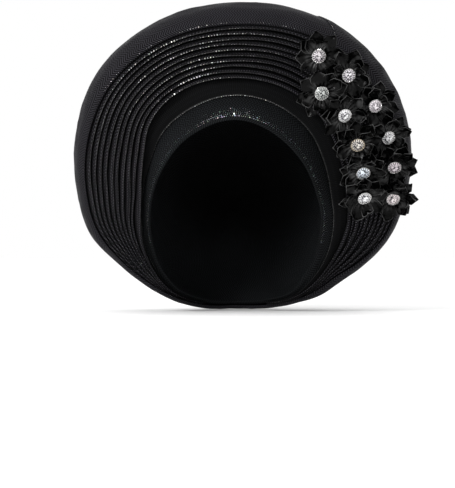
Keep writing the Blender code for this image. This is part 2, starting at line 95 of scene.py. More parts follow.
# How the cloth runs round the face: widths as shares of the sizes above, as in the solids but for a hood a
# little narrower, and a fan as much wider, low on the wearer's left
PLAN_COLUMNS = ("angle", "opening", "brow", "fold", "fan", "hood")
PLAN = (
    (-90, 1.60, 0.08, 0.02, 0.02, 0.14),
    (-75, 1.63, 0.10, 0.04, 0.03, 0.14),
    (-60, 1.66, 0.14, 0.10, 0.06, 0.15),
    (-50, 1.55, 0.34, 0.24, 0.14, 0.25),
    (-40, 1.49, 0.36, 0.33, 0.24, 0.29),
    (-30, 1.38, 0.49, 0.49, 0.45, 0.26),
    (-15, 1.27, 0.48, 0.83, 0.76, 0.24),
    (0, 1.14, 0.57, 0.90, 0.974, 0.37),
    (20, 1.04, 0.78, 0.95, 1.07, 0.69),
    (40, 0.98, 1.03, 1.00, 1.07, 0.92),
    (60, 0.97, 1.07, 1.07, 1.09, 0.93),
    (90, 1.00, 1.00, 1.00, 1.00, 1.00),
    (120, 1.00, 0.95, 1.17, 0.97, 0.90),
    (140, 1.03, 0.86, 0.94, 1.00, 0.80),
    (160, 1.08, 0.59, 0.45, 1.07, 0.59),
    (180, 1.18, 0.38, 0.12, 1.00, 0.42),
    (195, 1.28, 0.30, 0.08, 0.83, 0.36),
    (210, 1.40, 0.31, 0.08, 0.50, 0.20),
    (220, 1.50, 0.22, 0.10, 0.31, 0.17),
    (230, 1.58, 0.18, 0.12, 0.15, 0.16),
    (240, 1.64, 0.12, 0.10, 0.06, 0.15),
    (255, 1.63, 0.10, 0.04, 0.03, 0.14),
)

# How far forward each band stands, by the angle from the top, as shares of the depths above
DEPTH_COLUMNS = ("from_top", "face", "brow", "fold", "fan", "hood")
DEPTHS = (
    (0, 1.00, 1.00, 0.50, 1.00, 1.00),
    (30, 0.97, 1.15, 0.10, 0.93, 0.95),
    (50, 0.91, 1.10, 0.00, 0.96, 0.87),
    (70, 0.79, 0.90, 0.20, 1.05, 0.74),
    (90, 0.60, 0.50, 0.40, 1.09, 0.63),
    (105, 0.40, 0.25, 0.40, 1.01, 0.50),
    (120, 0.20, 0.18, 0.40, 0.79, 0.37),
    (130, 0.07, 0.15, 0.40, 0.63, 0.27),
    (140, -0.06, 0.15, 0.40, 0.46, 0.22),
    (150, -0.24, 0.15, 0.40, 0.38, 0.18),
    (165, -0.64, 0.12, 0.40, 0.33, 0.14),
    (180, -0.80, 0.10, 0.40, 0.32, 0.12),
)

# Sheets of cloth: thickness, and how many points a row has
CAP_CLOTH, FOLD_CLOTH, FAN_CLOTH, HOOD_CLOTH, LAP_CLOTH = 0.0012, 0.0006, 0.0005, 0.0006, 0.0005
CAP_POINTS, FOLD_POINTS, FAN_POINTS, HOOD_POINTS, LAP_POINTS = 120, 150, 220, 180, 46
BAND_SWELL = 0.05  # how far the middle of a band stands forward, as a share of its width
FAN_ENDS = (-74.0, 254.0)  # the fold and the fan run between these angles

# Cap: its edge round the face in cap walls outwards and back, and its bowl
CAP_EDGE = ((0.0, 1.0), (-0.35, 0.35), (-0.1, -0.1), (0.5, -0.15))
BOWL_SHARES = (0.93, 0.84, 0.74, 0.62, 0.5, 0.38, 0.26, 0.13)  # of the way from the back to the brow band
BOWL_LIFT = 0.9 * CAP_WALL  # the bowl's outer face stands this far off the head
BOWL_REST = 0.72  # the bowl lies on the head up to this share

# Fold: share of its width, how far back in fold walls, and how much of the pale edge thread, with its painted
# highlight, shows
FOLD_SHAPE = (
    (0.10, 1.0, 0), (-0.01, 0.8, 0), (-0.03, 0.45, 0.7), (0.0, 0.12, 1), (0.06, -0.08, 0),
    (0.2, -0.22, 0), (0.45, -0.28, 0), (0.7, -0.18, 0), (0.9, 0.0, 0), (1.0, 0.15, 0),
)
FOLD_ROLL = 0.9  # share of the fold's wall that its shape takes up
TUCK, TUCK_SHARE, TUCK_GAP = 0.005, 0.3, 0.0006  # under the fan: most length, share of the fan, clearance

# Pleat: share of its width, share of its height, how much painted shade lies on the cloth there, deepest
# between two pleats, and its edge thread with a painted highlight
PLEAT_SHAPE = (
    (0.0, 0.02, 0.9, 0), (-0.07, 0.26, 0.8, 0), (-0.075, 0.55, 0.4, 0), (0.0, 0.84, 0.05, 1),
    (0.12, 1.0, 0.0, 0), (0.30, 0.97, 0.05, 0), (0.50, 0.78, 0.5, 0), (0.70, 0.47, 0.85, 0),
    (0.86, 0.18, 0.95, 0),
)
PLEAT_RISE = 0.0036
PLEAT_MOST_RISE = 0.8  # share of a pleat's width
PAIRED_BELOW, PAIRED_BEYOND, PAIRING_RUN = -8, 205, 22  # where pleats begin to pair, and over how far
HOOD_TUCK = 0.6  # how far the fan runs under the hood's first row

# Hood: its folded edge outwards, and back in hood walls
HOOD_EDGE = ((0.0032, 1.15), (0.0010, 1.0), (-0.0003, 0.75), (-0.0007, 0.4))
GATHER_RISE, GATHER_COUNT, FINE_GATHER_COUNT = 0.0017, 15, 31
PULL_RISE, PULL_COUNT, PULL_SLANT = 0.0008, 46, 2.4  # lines of pulled cloth beside the flowers
LAP_LIFT = 0.0009  # the cloth's lapped end stands this far off the hood

# Unevenness of the cloth: how strong it is, how fast it changes round the face and across the cloth, and the
# layer of noise it is read from
BROW_RIPPLE = (0.0005, 0.11, 2.2, 3.0)
FOLD_WAVE = (0.0005, 0.06, 1.5, 9.0)
PLEAT_WANDER = (0.010, 0.035, 3.7, 1.0)
PLEAT_HEIGHTS = (0.18, 0.05, 5.1, 4.0)
GATHER_BEND = (5, 0.02, 0.02, 5.0)
HOOD_DENTS = (0.0011, 0.09, 0.045, 2.0)
HOOD_CREASES = (0.0005, 0.25, 0.06, 7.0)
GLITTER_PATCHES = (0.95, 0.075, 2.3, 8.0)
SEQUIN_PATCHES = (0.7, 0.4, 4.0, 6.0)
NOISE_REACH = 1.6  # brings the noise to about -1 to 1

# Where something is strongest round the face: its middle and its reach to both sides, in degrees
# The pale edges are thread with a painted highlight, strongest high on the wearer's right, and the dark
# hollows get deeper painted shade over the top
FOLD_EDGE_THREAD_AND_HIGHLIGHT, FOLD_GLITTER = (112, 65), (100, 70)
DEEPER_HOLLOW_SHADE, PLEAT_EDGE_THREAD_AND_HIGHLIGHT = (104, 84), (132, 88)
BROAD_FIRST_PLEAT, SOFT_PLEATS = (203, 26), (-40, 50)
THICK_GLITTER, THIN_GLITTER = (119, 38), (88, 40)
SEQUINS_MIDDLE, SEQUINS_REACH = 92, 46
TOP_DENTS, PULLED_CLOTH = (95, 60), (36, 22)

# Ribbon flowers: lean away from straight forward, the way it leans and turn of the petals in degrees, how
# many petals stand over the open ones, how many curl, and the tint of the stone, which also dims its painted
# reflections
Flower = namedtuple("Flower", "lean heading turn raised curled tint")
FLOWERS = (
    Flower(16, -60, 8, 2, 1, (0.62, 0.58, 0.60)),
    Flower(22, -50, 30, 4, 1, (1.0, 0.96, 1.0)),
    Flower(20, -65, 18, 2, 1, (0.46, 0.48, 0.46)),
    Flower(28, -50, 40, 5, 2, (1.0, 0.93, 0.97)),
    Flower(30, -57, 5, 4, 1, (1.0, 1.0, 1.0)),
    Flower(32, -50, 22, 6, 2, (1.0, 1.0, 1.0)),
    Flower(28, -80, 12, 5, 2, (1.0, 0.94, 0.86)),
    Flower(36, -72, 35, 5, 2, (0.86, 0.93, 1.0)),
    Flower(36, -80, 26, 6, 3, (1.0, 0.90, 0.94)),
    Flower(40, -70, 15, 5, 2, (1.0, 1.0, 1.0)),
    Flower(38, -78, 44, 6, 3, (1.0, 0.91, 0.91)),
)
OPEN_PETALS = 8
FLOWER_SEED, STONE_SEED = 40, 90

# Petals: half width, cup, rise of the tip, curl back, twist, and pleats at the root
Petal = namedtuple("Petal", "half_width cup rise curl twist pleats")
PETALS = {
    "open": Petal(0.0057, 0.0010, 0.0010, 0.0, 0.0, 0.0010),
    "raised": Petal(0.0052, 0.0030, 0.0062, 0.0, 0.30, 0.0013),
    "curled": Petal(0.0048, 0.0034, 0.0085, 0.0050, -0.7, 0.0013),
}
FLOWER_RADIUS = 0.0212
PETAL_ACROSS = (-1.0, -0.94, -0.66, -0.33, 0.0, 0.33, 0.66, 0.94, 1.0)
PETAL_ALONG = (0.10, 0.19, 0.28, 0.38, 0.48, 0.58, 0.67, 0.75, 0.80, 0.87, 0.94, 1.0)
PETAL_ROOT_WIDTH, PETAL_TIP_WIDTH = 0.24, 0.03  # shares of the petal's width
PETAL_SHOULDER = 0.75  # share of the length where the sides turn in to the tip
PETAL_PLEATS = 9.5  # radians of pleating from the middle of the root to its side
PETAL_SPINE = 0.0007
UNDER_STONE = 0.30  # share of the length that lies flat under the stone
RIBBON_WALL = 0.00025

# Stones: the first two heights are over the flower's frame, the rises over the girdle, the widest ring
GIRDLE_HEIGHT = 0.0022
STONE_MIDDLE = 0.0031  # the solid stone's middle over the flower's frame
TABLE_RADIUS, STAR_RADIUS, MAIN_RADIUS = 0.38 * STONE_RADIUS, 0.58 * STONE_RADIUS, 0.76 * STONE_RADIUS
TABLE_RISE, STAR_RISE, MAIN_RISE = 0.0019, 0.0015, 0.0010
TABLE_SIDES = 8
RIM_FACETS = 32  # four to each side of the table, and as many beads in the setting
# Painted reflections of the crown: a tone for every inner and middle one of its facets, picked at random from
# these
INNER_REFLECTION_TONES = (0.1, 0.4, 0.6, 0.8, 1.0, 1.0)
MIDDLE_REFLECTION_TONES = (0.0, 0.1, 0.3, 0.4, 0.5, 0.7, 1.0)
TICK_REFLECTION_TONES = (0.15, 0.35, 0.55)  # painted reflection of every other one of the rim facets

# Settings: the ring of beads, and the cup's section as radius and height from the girdle
SETTING_RADIUS = 0.0054
BEAD_RADIUS = 0.00050
BEADS_RISE = 0.0003
CUP_SIDES = 32
CUP_PROFILE = (
    (0.0, -0.0013), (0.0038, -0.0013), (0.0047, -0.0005), (0.0051, -0.0004), (0.0050, -0.0008),
    (0.0042, -0.0018), (0.0, -0.0018),
)
CUP_PAINTED_SHADE = 0.25  # painted shade: the cup's tint is this share of the beads' tint
SILVER_TINT = (1.0, 1.0, 1.0)
GOLD_TONED = {7: (1.0, 0.89, 0.72)}  # settings that aren't silver, by number

# Patterns in the materials
THREAD_PITCH = 0.0011
RIBBON_RIB_PITCH = 0.0009
GLITTER_CELL = 0.0012
CLOTH_MAP = "cloth"  # the name of every UV map: metres along a row and across the rows

# Sockets of a Mix node that mixes colours, and of a Random Value node that gives numbers
MIX_FACTOR, MIX_FIRST, MIX_SECOND, MIX_RESULT = 0, 6, 7, 2
RANDOM_LEAST, RANDOM_MOST, RANDOM_NUMBER = 2, 3, 1


# Sections of the cloth


def smooth_through(points, key, period=None):
    """The value at a key on a smooth curve through the points, which repeats if it has a period."""
    if period:
        first, last = points[0], points[-1]
        key = first[0] + (key - first[0]) % period
        points = [(last[0] - period, last[1])] + list(points) + [(first[0] + period, first[1])]
        points.append((points[2][0] + period, points[2][1]))
    start = max(i for i, point in enumerate(points[:-1]) if point[0] <= key or i == 0)
    before, after = points[start], points[start + 1]
    span = after[0] - before[0]
    far_before = points[max(start - 1, 0)]
    far_after = points[min(start + 2, len(points) - 1)]
    rise_in = (after[1] - far_before[1]) / (after[0] - far_before[0]) * span
    rise_out = (far_after[1] - before[1]) / (far_after[0] - before[0]) * span
    t = (key - before[0]) / span
    return (
        before[1] * (2 * t**3 - 3 * t**2 + 1)
        + rise_in * (t**3 - 2 * t**2 + t)
        + after[1] * (3 * t**2 - 2 * t**3)
        + rise_out * (t**3 - t**2)
    )


def plan_share(name, angle):
    at = PLAN_COLUMNS.index(name)
    return smooth_through([(row[0], row[at]) for row in PLAN], angle, 360)


def depth_share(name, angle):
    at = DEPTH_COLUMNS.index(name)
    points = [(row[0], row[at]) for row in DEPTHS]
    mirrored = [(-points[1][0], points[1][1])] + points + [(360 - points[-2][0], points[-2][1])]
    return smooth_through(mirrored, abs((angle - 90 + 180) % 360 - 180))


def outward(angle):
    turn = math.radians(angle)
    return Vector((math.cos(turn), 0, math.sin(turn)))


def place(angle, radius, depth):
    turn = math.radians(angle)
    return Vector((radius * math.cos(turn), depth, radius * math.sin(turn) - CROWN_RISE))


@functools.lru_cache(maxsize=None)
def rings(angle):
    """Radius and depth of every visible edge in one section, from the face outwards."""
    opening = OPENING_RADIUS * plan_share("opening", angle)
    brow = opening + BROW_WIDTH * plan_share("brow", angle)
    fold = brow + FOLD_WIDTH * plan_share("fold", angle)
    fan = fold + FAN_WIDTH * plan_share("fan", angle)
    hood = fan + HOOD_WIDTH * plan_share("hood", angle)
    face_y = -FACE_DEPTH * depth_share("face", angle)
    brow_y = face_y + BROW_DEPTH * depth_share("brow", angle)
    fold_edge_y = brow_y - LAYER_GAP - FOLD_WALL
    fold_y = fold_edge_y + FOLD_DEPTH * depth_share("fold", angle)
    fan_rise = FAN_DEPTH * depth_share("fan", angle)
    lean = min(math.hypot(1, fan_rise / (fan - fold)), MOST_LEAN)
    fan_back_y = fold_y - LAYER_GAP * lean
    fan_end_y = fan_back_y + fan_rise
    hood_y = fan_end_y - (FAN_WALL + LAYER_GAP) * lean - HOOD_WALL
    return {
        "opening": (opening, face_y),
        "brow": (brow, brow_y),
        "fold_edge": (brow, fold_edge_y),
        "fold": (fold, fold_y),
        "fan_back": (fold, fan_back_y),
        "fan_end": (fan, fan_end_y),
        "hood": (fan, hood_y),
        "rim": (hood, hood_y + HOOD_DEPTH * depth_share("hood", angle)),
        "lean": lean,
    }


def between(first, last, share):
    return first + (last - first) * share


def ease(share):
    share = min(max(share, 0.0), 1.0)
    return share * share * (3 - 2 * share)


def arch(share):
    """0 at both ends and 1 in the middle."""
    return math.sin(math.pi * share)


def bump_at(value, middle, reach):
    """1 at the middle, easing down to 0 at the reach on both sides."""
    return ease(1 - abs(value - middle) / reach)


def steps(first, last, count):
    return [first + (last - first) * i / (count - 1) for i in range(count)]


def all_round(count):
    return steps(-90, 270 - 360 / count, count)


def unevenness(angle, across, pattern):
    """Smooth noise, about as much to both sides as the pattern is strong."""
    strength, rate_round, rate_across, layer = pattern
    spot = Vector((angle * rate_round, across * rate_across, layer))
    return strength * (noise.noise(spot) * NOISE_REACH)


# Node graphs


class Wire:
    """An output of a node. Arithmetic on it adds Math nodes to its graph."""

    def __init__(self, graph, socket):
        self.graph, self.socket = graph, socket

    def math(self, operation, *others):
        return self.graph.node("ShaderNodeMath", {"operation": operation}, dict(enumerate((self, *others))))

    def __add__(self, other):
        return self.math("ADD", other)

    __radd__ = __add__

    def __mul__(self, other):
        return self.math("MULTIPLY", other)

    __rmul__ = __mul__

    def __sub__(self, other):
        return self.math("SUBTRACT", other)

    def __rsub__(self, other):
        return (self * -1.0) + other

    def __truediv__(self, other):
        return self.math("DIVIDE", other)

    def __pow__(self, other):
        return self.math("POWER", other)

    def clamp(self):
        return self.graph.node("ShaderNodeClamp", {}, {"Value": self})


class Graph:
    """A node tree and the two methods that build it."""

    def __init__(self, tree):
        self.tree = tree

    def node(self, kind, settings, inputs, output=0):
        """Adds a node and gives the wire of one of its outputs."""
        made = self.tree.nodes.new(kind)
        for name, value in settings.items():
            if name == "stops":
                while len(made.color_ramp.elements) < len(value):
                    made.color_ramp.elements.new(0.5)
                for element, (position, colour) in zip(made.color_ramp.elements, value):
                    element.position = position
                    element.color = (*colour, 1.0)
            else:
                setattr(made, name, value)
        self.fill(made, inputs)
        return Wire(self, made.outputs[output])

    def fill(self, node, inputs):
        """Links or sets sockets of a node."""
        for key, value in inputs.items():
            if isinstance(value, Wire):
                self.tree.links.new(value.socket, node.inputs[key])
            else:
                node.inputs[key].default_value = value


def new_material(name):
    material = bpy.data.materials.new(name)
    material.use_nodes = True
    return material, Graph(material.node_tree), material.node_tree.nodes["Principled BSDF"]


def grey(value, tint=(1.0, 1.0, 1.0)):
    return tuple(value * part for part in tint) + (1.0,)


def object_place(graph):
    return graph.node("ShaderNodeTexCoord", {}, {}, "Object")


def on_cloth(graph, axis):
    """Metres along a row of the cloth, X, or across its rows, Y."""
    coordinates = graph.node("ShaderNodeUVMap", {"uv_map": CLOTH_MAP}, {})
    return graph.node("ShaderNodeSeparateXYZ", {}, {0: coordinates}, axis)


def mark(graph, name, output="Fac"):
    return graph.node("ShaderNodeAttribute", {"attribute_name": name}, {}, output)


def mottling(graph, scale, detail=2.0):
    """Soft random patches."""
    inputs = {"Vector": object_place(graph), "Scale": scale, "Detail": detail}
    return graph.node("ShaderNodeTexNoise", {}, inputs)


def wave(length, pitch):
    """A sine from -1 to 1 along a length."""
    return (length * (2 * math.pi / pitch)).math("SINE")


def relief(graph, height, strength, distance):
    return graph.node("ShaderNodeBump", {}, {"Strength": strength, "Distance": distance, "Height": height})


def mix_colour(graph, factor, first, second, blend="MIX"):
    inputs = {MIX_FACTOR: factor, MIX_FIRST: first, MIX_SECOND: second}
    return graph.node("ShaderNodeMix", {"data_type": "RGBA", "blend_type": blend}, inputs, MIX_RESULT)


# Materials


def woven_cloth(name, dark, light, tint, rib_pitch, zigzag_width, slant, crispness, roughness, braid=0.0):
    """Near-black cloth: fine diagonal ribs that change direction in a zigzag, over crossed threads.

    The ribs' hollows are dark and their crests light, in the tint. A mark of painted shade on the mesh hides
    the ribs and darkens the cloth between pleats, and a mark "edge" lets a pale, broken thread show, with a
    painted highlight.
    """
    material, graph, shader = new_material(name)
    along, across = on_cloth(graph, "X"), on_cloth(graph, "Y")
    zigzag = (across / zigzag_width).math("PINGPONG", 0.5) * (zigzag_width * slant)
    rib = wave(along + zigzag, rib_pitch) * 0.5 + 0.5
    crossing = wave(along - zigzag, rib_pitch) * (0.5 * braid) + (1 - 0.5 * braid)
    thread = wave(along, THREAD_PITCH) * wave(across, THREAD_PITCH)
    cloudy = mottling(graph, scale=38.0, detail=3.0)
    grainy = mottling(graph, scale=900.0, detail=1.0)
    # painted shade: the shade mark hides the ribs and darkens the cloth deep between pleats
    shown = rib ** crispness * crossing * (1 - mark(graph, "hollow"))
    tone = (shown * (cloudy * 0.6 + 0.6) * (grainy * 0.8 + 0.6)).clamp()
    cloth = mix_colour(graph, tone, grey(dark), grey(light, tint))
    # pale edge thread with a painted highlight, broken up by the grain
    pale_thread_and_highlight = (mark(graph, "edge") * (grainy * 3.2 - 0.9)).clamp()
    graph.fill(shader, {
        "Base Color": mix_colour(graph, pale_thread_and_highlight, cloth, grey(0.115)),
        "Roughness": (cloudy * 0.2 + (roughness - 0.05) - rib * 0.12).clamp(),
        "Normal": relief(graph, rib * 0.7 + thread * 0.3, strength=0.55, distance=0.0004),
        "Specular IOR Level": 0.015,
        "Sheen Weight": 0.01,
        "Sheen Roughness": 0.3,
        "Sheen Tint": grey(0.5, (0.9, 0.9, 1.0)),
    })
    return material


def satin_ribbon():
    """Black satin: glossy along the petal, with pale, melted edges and root creases that carry a painted
    highlight, and broad patches of painted highlight.
    """
    material, graph, shader = new_material("black_satin")
    edge = mark(graph, "edge")
    crinkle = mottling(graph, scale=260.0)
    patchy = mottling(graph, scale=90.0) * 5.0 - 2.1
    painted_gleam = (mottling(graph, scale=110.0, detail=1.0) * 5.0 - 2.9).clamp()
    ribs = wave(on_cloth(graph, "Y"), RIBBON_RIB_PITCH) * 0.5 + 0.5
    # painted highlight: lighter on the pale melted edges and the root creases, and in broad patches
    pale = (edge * patchy + painted_gleam * 0.5).clamp()
    graph.fill(shader, {
        "Base Color": mix_colour(graph, pale, grey(0.0008), grey(0.10)),
        "Roughness": (crinkle * 0.2 + 0.10 + edge * 0.1).clamp(),
        "Normal": relief(graph, crinkle * 0.9 + ribs * 0.1, strength=0.6, distance=0.0008),
        "Specular IOR Level": 0.09,
    })
    return material


def glitter(name, brightness, tint, spread):
    """Bright metallic film, each fleck a little different in tint."""
    material, graph, shader = new_material(name)
    snap = {0: object_place(graph), 1: (GLITTER_CELL,) * 3}
    cell = graph.node("ShaderNodeVectorMath", {"operation": "SNAP"}, snap)
    fleck = graph.node("ShaderNodeTexWhiteNoise", {}, {0: cell}, "Color")
    graph.fill(shader, {
        "Base Color": mix_colour(graph, spread, grey(brightness, tint), fleck),
        "Metallic": 0.9,
        "Roughness": 0.28,
    })
    return material


def cut_crystal():
    """Clear stone over foil, shown by painted reflections: each of its facets holds a painted tone, from
    white to near black.
    """
    material, graph, shader = new_material("cut_crystal")
    # painted reflections: one tone to each of the facets, with a fine painted sparkle from the noise
    tone = mark(graph, "facet")
    fire = mottling(graph, scale=1400.0)
    stops = (
        (0.0, (0.015, 0.015, 0.02)), (0.25, (0.10, 0.10, 0.11)), (0.5, (0.42, 0.41, 0.42)),
        (0.75, (0.80, 0.80, 0.82)), (1.0, (0.95, 0.95, 0.95)),
    )
    colour = graph.node("ShaderNodeValToRGB", {"stops": stops}, {0: (tone + fire * 0.3 - 0.15).clamp()})
    graph.fill(shader, {
        "Base Color": mix_colour(graph, 1.0, colour, mark(graph, "tint", "Color"), "MULTIPLY"),
        "Roughness": tone * 0.08 + 0.04,
    })
    return material


def plated_metal():
    """Bright plating, a little worn; its tint is a mark on the mesh."""
    material, graph, shader = new_material("plated_metal")
    worn = mottling(graph, scale=700.0)
    plate = mix_colour(graph, worn, grey(0.70), grey(0.95, (1.0, 0.98, 0.96)))
    graph.fill(shader, {
        "Base Color": mix_colour(graph, 1.0, plate, mark(graph, "tint", "Color"), "MULTIPLY"),
        "Roughness": worn * 0.2 + 0.1,
        "Metallic": 1.0,
    })
    return material


def floor_paint():
    material, graph, shader = new_material("pale_floor")
    graph.fill(shader, {
        "Base Color": mix_colour(graph, mottling(graph, scale=1.5), grey(0.93), grey(0.96)),
        "Roughness": 0.9,
        "Emission Color": grey(1.0),
        "Emission Strength": 0.09,
    })
    return material


# Meshes


def linked(name, data):
    """An object of the scene that holds the data."""
    made = bpy.data.objects.new(name, data)
    bpy.context.scene.collection.objects.link(made)
    return made


def new_piece(name, vertices, faces, material, crease=50):
    """A smooth mesh object with sharp edges where its faces meet at more than the crease, in degrees."""
    mesh = bpy.data.meshes.new(name)
    mesh.from_pydata([tuple(v) for v in vertices], [], faces)
    mesh.shade_smooth()
    mesh.set_sharp_from_angle(angle=math.radians(crease))
    mesh.materials.append(material)
    return linked(name, mesh)


def mesh_from(form, name):
    """A mesh from a bmesh, which is then freed."""
    mesh = bpy.data.meshes.new(name)
    form.to_mesh(mesh)
    form.free()
    return mesh


def mark_points(mesh, name, values):
    mesh.attributes.new(name, "FLOAT", "POINT").data.foreach_set("value", values)


def tinted(mesh, tint):
    marks = mesh.attributes.new("tint", "FLOAT_COLOR", "POINT")
    marks.data.foreach_set("color", [*tint, 1.0] * len(mesh.vertices))


def with_wall(piece, thickness, offset):
    """The piece with a wall: inwards at an offset of -1, to both sides at 0."""
    wall = piece.modifiers.new("wall", "SOLIDIFY")
    wall.thickness = thickness
    wall.offset = offset
    return piece


def grid_faces(row_count, count, closed=False):
    """Four-sided faces between rows of as many points each."""
    faces = []
    for i in range(row_count - 1):
        for j in range(count if closed else count - 1):
            k = (j + 1) % count
            faces.append((i * count + j, (i + 1) * count + j, (i + 1) * count + k, i * count + k))
    return faces


def cloth_grid(name, rows, material, wall, pole=None, u_row=None, marks=None):
    """Cloth from rows of points. With a pole, the rows close on themselves and the last closes on the pole.

    Its UV map measures metres along one row, u_row or the middle one, and across the rows. marks gives every
    point of every row a value: the mark of painted shade runs from 0, on a crest, to 1, deep between two
    pleats, and "edge" says how strongly a pale thread, with its painted highlight, shows there.
    """
    count, closed = len(rows[0]), pole is not None
    measured = rows[u_row if u_row is not None else len(rows) // 2]
    along = [0.0]
    for a, b in zip(measured, measured[1:]):
        along.append(along[-1] + (b - a).length)
    loop_length = along[-1] + (measured[0] - measured[-1]).length
    across = [[0.0] * count]
    for before, row in zip(rows, rows[1:]):
        across.append([gone + (b - a).length for gone, a, b in zip(across[-1], before, row)])
    vertices = [point for row in rows for point in row]
    faces = grid_faces(len(rows), count, closed)
    grid_size = len(vertices)
    if closed:
        last = grid_size - count
        vertices.append(pole)
        faces += [(last + j, grid_size, last + (j + 1) % count) for j in range(count)]
    piece = new_piece(name, vertices, faces, material)
    layer = piece.data.uv_layers.new(name=CLOTH_MAP)
    for face in piece.data.polygons:
        columns = [v % count for v in face.vertices if v < grid_size]
        wraps = closed and 0 in columns and count - 1 in columns
        for loop in face.loop_indices:
            v = piece.data.loops[loop].vertex_index
            if v == grid_size:
                j = min(columns)
                layer.data[loop].uv = (along[j], across[-1][j] + 0.01)
            else:
                i, j = divmod(v, count)
                layer.data[loop].uv = (loop_length if wraps and j == 0 else along[j], across[i][j])
    for mark_name, mark_rows in (marks or {}).items():
        values = [value for row in mark_rows for value in row]
        mark_points(piece.data, mark_name, values + values[-1:] * (len(vertices) - len(values)))
    return with_wall(piece, wall, -1)


def baked(piece):
    """The piece with its modifiers made part of its mesh."""
    graph = bpy.context.evaluated_depsgraph_get()
    mesh = bpy.data.meshes.new_from_object(piece.evaluated_get(graph), depsgraph=graph)
    piece.modifiers.clear()
    piece.data = mesh
    return piece


def joined(name, pieces):
    """One object from several."""
    form = bmesh.new()
    for piece in pieces:
        form.from_mesh(piece.data)
    mesh = mesh_from(form, name)
    for material in pieces[0].data.materials:
        mesh.materials.append(material)
    for piece in pieces:
        bpy.data.objects.remove(piece, do_unlink=True)
    return linked(name, mesh)


def onto_root(piece, slot, *nodes):
    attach(piece, "root")
    if nodes:
        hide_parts(*nodes)
    return piece


# The fitted cap


def head_reach(angle, polar):
    """Distance from the middle of the head to its surface; polar is 0 at the back and 90 at the sides."""
    turn, tip = math.radians(angle), math.radians(polar)
    across = math.sin(tip) * math.cos(turn) / (HEAD_WIDTH / 2)
    along = math.cos(tip) / (HEAD_LENGTH / 2)
    height = CROWN_RISE if math.sin(turn) > 0 else NAPE_DROP
    up = math.sin(tip) * math.sin(turn) / height
    return 1 / math.sqrt(across**2 + along**2 + up**2)


def cap_edge_point(angle, out, back):
    open_r, open_y = rings(angle)["opening"]
    return place(angle, open_r + (out - 0.5) * CAP_WALL, open_y + 0.5 * back * CAP_WALL)


def brow_point(angle, share, lift):
    """A point of the brow band at a share of its width, lifted forward off its smooth form."""
    (open_r, open_y), (brow_r, brow_y) = rings(angle)["opening"], rings(angle)["brow"]
    swell = BAND_SWELL * (brow_r - open_r) * arch(share)
    return place(angle, between(open_r, brow_r, share), between(open_y, brow_y, share) - swell - lift)


def bowl_point(angle, share):
    """A point of the bowl; share is 1 at the brow band and 0 at the middle of the back."""
    brow_r, brow_y = rings(angle)["brow"]
    band_polar = math.degrees(math.atan2(brow_r, brow_y))
    band_lift = math.hypot(brow_r, brow_y) - head_reach(angle, band_polar)
    polar = band_polar * share
    lift = between(BOWL_LIFT, band_lift, ease((share - BOWL_REST) / (1 - BOWL_REST)))
    reach = head_reach(angle, polar) + lift
    tip = math.radians(polar)
    return place(angle, reach * math.sin(tip), reach * math.cos(tip))


def make_cap(material):
    """The fitted cap: a rolled edge round the face, the brow band, and the bowl over the head."""
    angles = all_round(CAP_POINTS)
    rows = [[cap_edge_point(a, out, back) for a in angles] for out, back in CAP_EDGE]
    for share in steps(0.12, 1.0, 9):
        ripple = [-unevenness(a, share, BROW_RIPPLE) * arch(share) for a in angles]
        rows.append([brow_point(a, share, lift) for a, lift in zip(angles, ripple)])
    rows += [[bowl_point(a, share) for a in angles] for share in BOWL_SHARES]
    pole = place(0, 0, HEAD_LENGTH / 2 + BOWL_LIFT)
    # painted shade: the ribs fade out and the cloth goes dark over the last rows before the back pole
    back_shade = [[ease((i - len(rows) + 4) / 3)] * CAP_POINTS for i in range(len(rows))]
    return cloth_grid("fitted_cap", rows, material, CAP_CLOTH, pole, u_row=8, marks={"hollow": back_shade})


# The plain fold


def fold_point(angle, share, back):
    """A point of the fold at a share of its width, set back by a share of its rolled wall."""
    (edge_r, edge_y), (end_r, end_y) = rings(angle)["fold_edge"], rings(angle)["fold"]
    wave_back = unevenness(angle, share, FOLD_WAVE) * ease(share * 3)
    depth = between(edge_y, end_y, share) + back * FOLD_WALL * FOLD_ROLL + wave_back
    return place(angle, between(edge_r, end_r, share), depth)


def fold_tuck(angle):
    """Where the fold ends under the fan."""
    ring = rings(angle)
    (fan_r, fan_y), (end_r, end_y) = ring["fan_back"], ring["fan_end"]
    run = min(TUCK, TUCK_SHARE * (end_r - fan_r))
    slope = (end_y - fan_y) / (end_r - fan_r)
    return place(angle, fan_r + run, ring["fold"][1] + run * slope + TUCK_GAP)


def make_fold(material):
    """The plain fold over the brow band: its inner edge is rolled under, its outer edge is under the fan."""
    angles = steps(*FAN_ENDS, FOLD_POINTS)
    rows = [[fold_point(a, share, back) for a in angles] for share, back, _ in FOLD_SHAPE]
    rows.append([fold_tuck(a) for a in angles])
    # the pale edge thread with its painted highlight, strongest high on the wearer's right
    threads = [0.25 + 0.40 * bump_at(a, *FOLD_EDGE_THREAD_AND_HIGHLIGHT) for a in angles]
    edges = [[shows * thread for thread in threads] for *_, shows in FOLD_SHAPE] + [[0.0] * FOLD_POINTS]
    return cloth_grid("plain_fold", rows, material, FOLD_CLOTH, u_row=4, marks={"edge": edges})


# The fan of pleats


def paired(angle):
    """Low on both sides the pleats run together in pairs: 0 where they are apart, 1 where they are joined."""
    on_left = ease((PAIRED_BELOW - angle) / PAIRING_RUN)
    on_right = ease((angle - PAIRED_BEYOND) / PAIRING_RUN)
    return max(on_left, 0.8 * on_right)


def pleat_edge(angle, pleat):
    """Share of the fan's width where a pleat starts. Low on the wearer's right the first pleat is broad."""
    broad = 0.09 * bump_at(angle, *BROAD_FIRST_PLEAT)
    share = (pleat + 0.7 * paired(angle) * (pleat % 2)) / PLEAT_COUNT
    if 0 < pleat < PLEAT_COUNT:
        share += broad * (1 - share) + unevenness(angle, pleat, PLEAT_WANDER)
    return share


